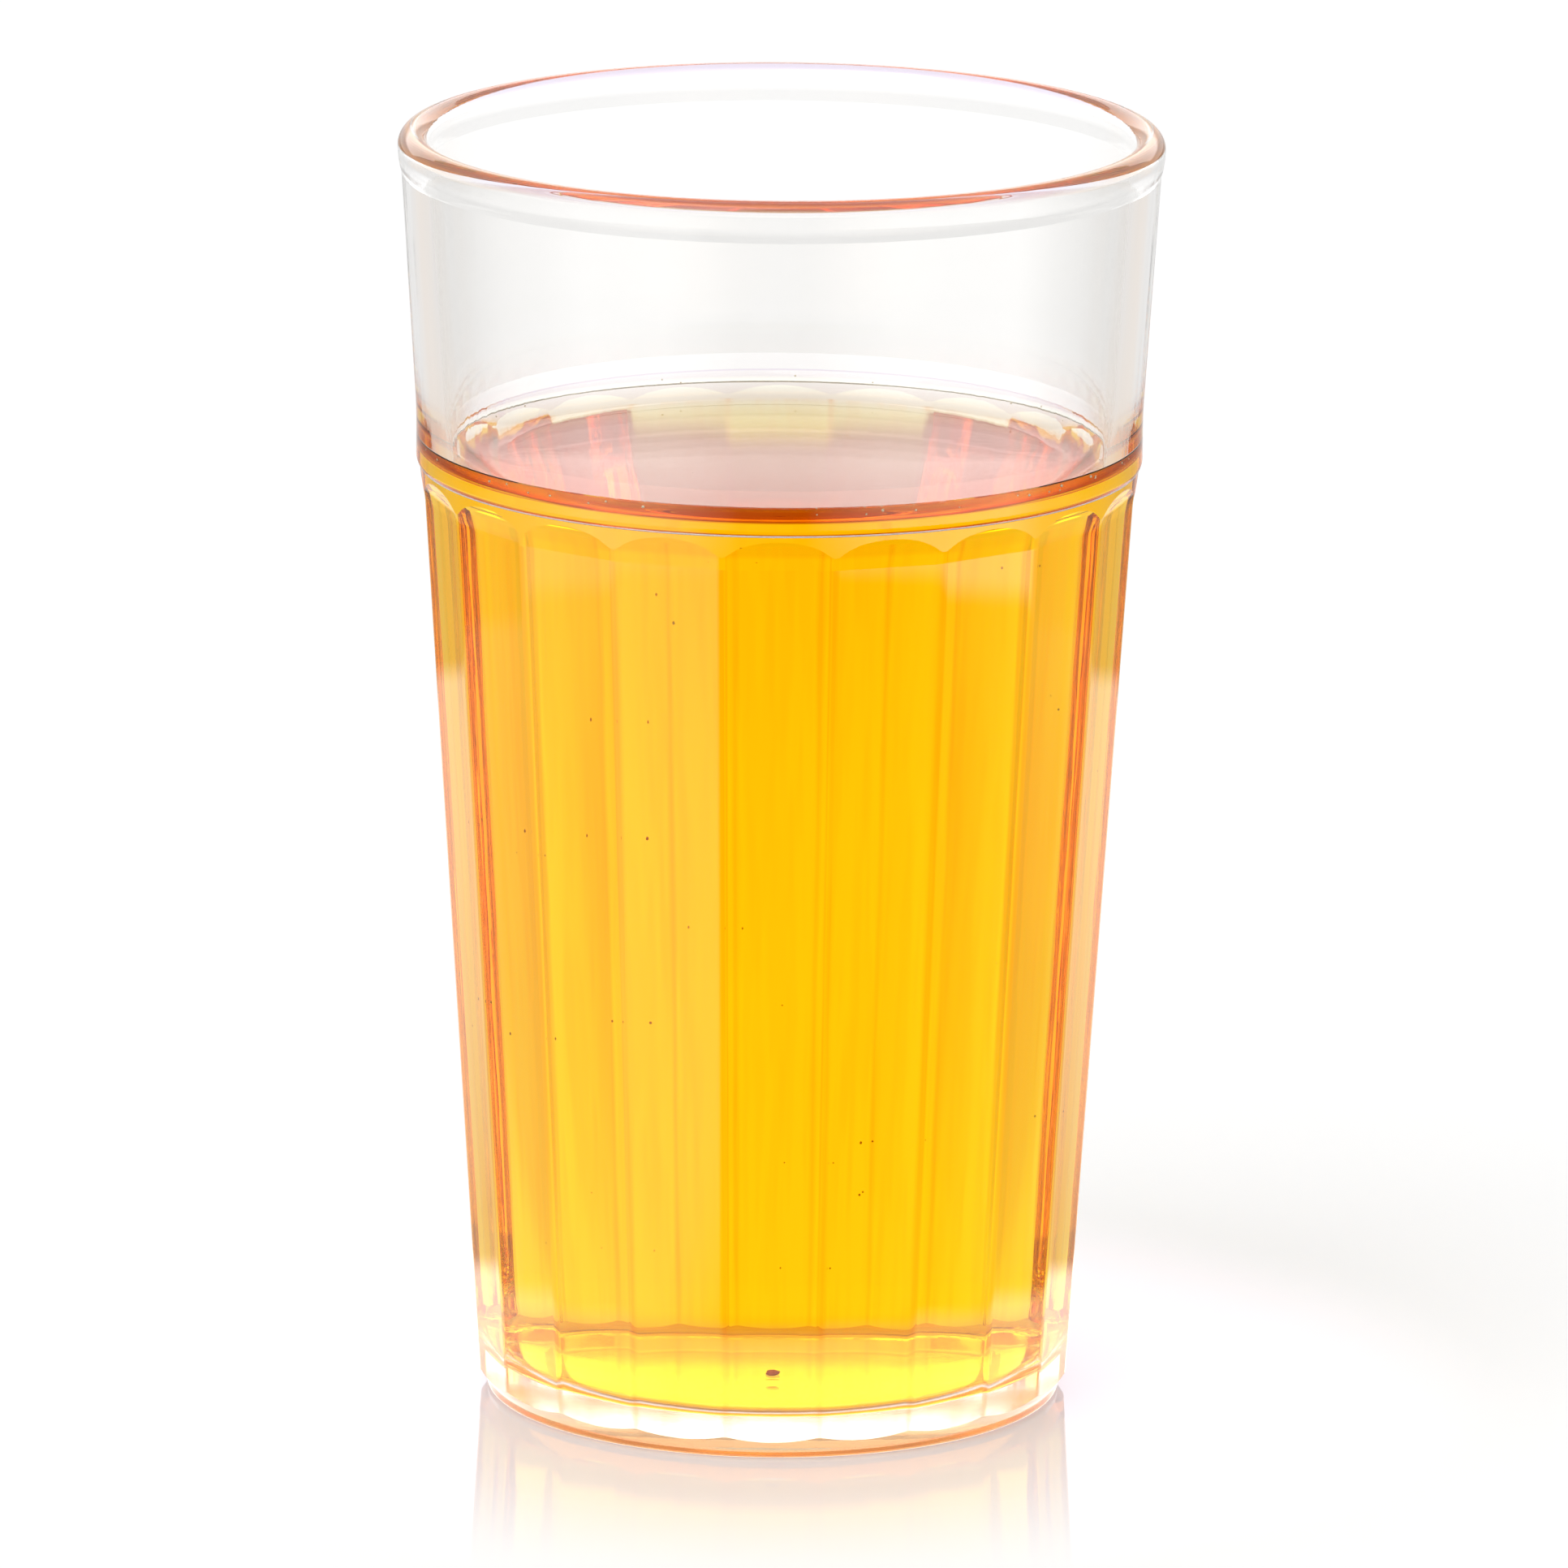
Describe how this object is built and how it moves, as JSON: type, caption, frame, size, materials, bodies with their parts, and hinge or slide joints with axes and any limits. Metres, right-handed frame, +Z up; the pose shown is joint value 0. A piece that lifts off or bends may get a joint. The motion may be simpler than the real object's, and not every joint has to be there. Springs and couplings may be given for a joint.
{
  "type": "glass of apple juice",
  "caption": "Clear fluted tumbler with a thick rounded lip, a stepped band and a heavy foot, filled with golden apple juice to just over the step.",
  "frame": {"origin": "centre of the flat face that the foot ring stands on", "axes": "+Z up along the tumbler's axis, -Y towards the front, where one flute faces"},
  "size_m": [0.072, 0.072, 0.1215],
  "materials": {
    "clear_plastic": "clear, glossy moulded plastic",
    "apple_juice": "clear golden liquid"
  },
  "bodies": {
    "root": {"tumbler": "clear_plastic", "juice": "apple_juice"}
  },
  "joints": []
}
